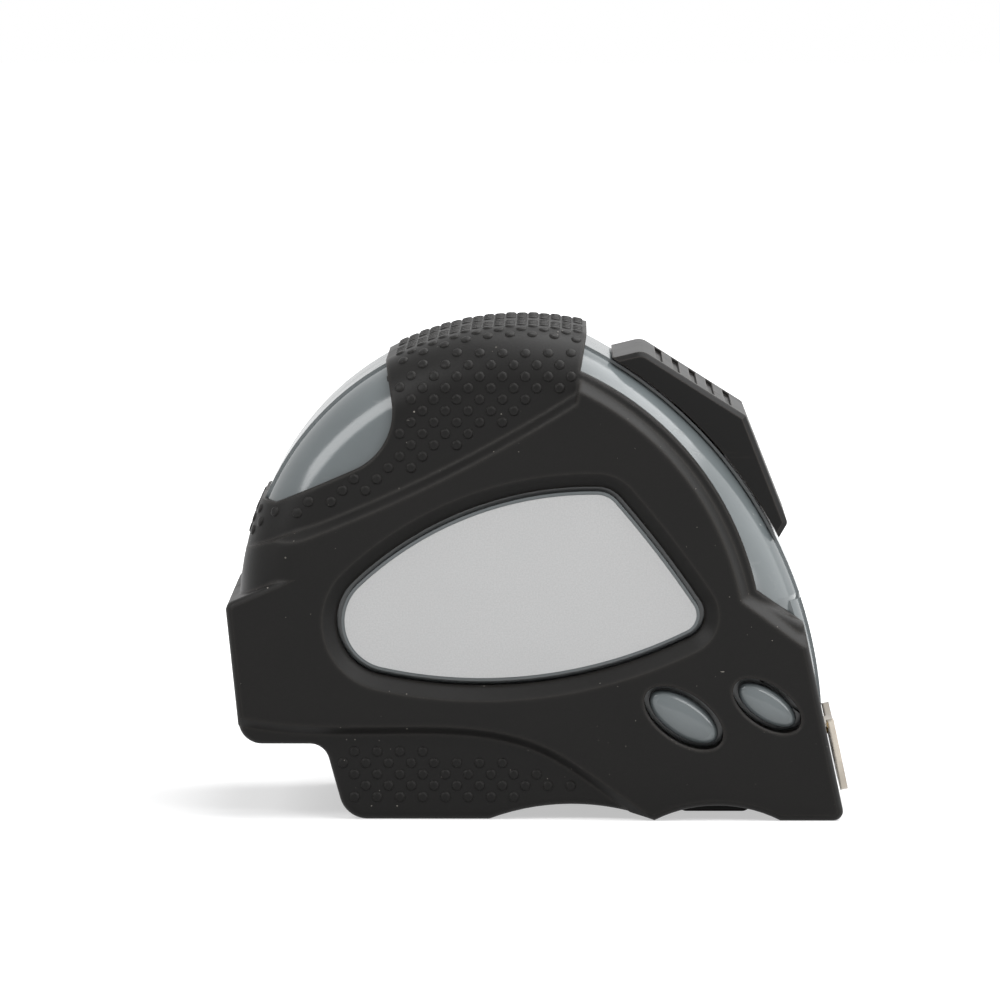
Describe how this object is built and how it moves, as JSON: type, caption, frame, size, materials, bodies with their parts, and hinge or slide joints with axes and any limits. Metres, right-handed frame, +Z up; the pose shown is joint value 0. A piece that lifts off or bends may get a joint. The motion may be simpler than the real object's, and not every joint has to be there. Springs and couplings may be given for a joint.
{
  "type": "tape measure",
  "caption": "Pocket tape measure: grey shell in a black grip jacket, thumb lock, finger brake, sprung reel, short blade run and floating end hook, belt clip behind.",
  "frame": {"origin": "middle of the footprint on the surface that the feet stand on", "axes": "+Z up, +X towards the tape mouth, -Y towards the label side, +Y towards the belt clip"},
  "size_m": [0.0796, 0.0478, 0.0626],
  "materials": {
    "grey_shell": "glossy moulded ABS",
    "soft_black": "matte soft overmould",
    "label_silver": "fine satin foil, bare",
    "black_plastic": "satin moulded nylon",
    "white_plastic": "natural acetal",
    "steel": "zinc plated",
    "spring_steel": "blued strip",
    "nickel": "nickel plated",
    "blade_yellow": "lacquered steel strip"
  },
  "bodies": {
    "case": {"right_case_half": "grey_shell", "left_case_half": "grey_shell", "right_overmould": "soft_black", "left_overmould": "soft_black", "label_plate": "label_silver", "spring_arbor": "white_plastic", "case_screws": "steel", "mouth_guide": "black_plastic", "hook_bumper": "soft_black", "brake_pivot_pin": "steel", "brake_spring": "spring_steel", "belt_clip": "steel", "belt_clip_screw": "steel"},
    "reel": {"spool_drum": "white_plastic", "spool_cover": "white_plastic", "power_spring": "spring_steel", "tape_coil": "blade_yellow"},
    "tape": {"tape_blade": "blade_yellow", "hook_rivets": "nickel"},
    "hook": {"end_hook": "nickel"},
    "lock": {"lock_button": "black_plastic", "lock_brake_arm": "white_plastic", "lock_brake_pad": "soft_black"},
    "brake": {"brake_lever": "black_plastic", "brake_pad": "soft_black"}
  },
  "joints": [
    {"name": "reel_turn", "type": "hinge", "parent": "case", "child": "reel", "pos_m": [-0.0025, -0.0029, 0.0293], "axis": [0, -1, 0], "range_deg": [0, 72], "deforming": ["power_spring"]},
    {"name": "tape_pull", "type": "slide", "parent": "case", "child": "tape", "axis": [0.9976, 0, 0.0698], "range_m": [0, 0.02928]},
    {"name": "hook_float", "type": "slide", "parent": "tape", "child": "hook", "axis": [0.9976, 0, 0.0698], "range_m": [0, 0.001]},
    {"name": "lock_slide", "type": "hinge", "parent": "case", "child": "lock", "pos_m": [-0.0194, -0.0029, 0.0102], "axis": [0, 1, 0], "range_deg": [0, 7.5]},
    {"name": "brake_press", "type": "hinge", "parent": "case", "child": "brake", "pos_m": [0.0136, -0.0029, 0.0049], "axis": [0, -1, 0], "range_deg": [0, 7], "stiffness_Nm_per_rad": 0.2, "deforming": ["brake_spring"]}
  ],
  "couplings": [
    {"joint": "tape_pull", "follows": "reel_turn", "m_per_rad": 0.0233}
  ]
}
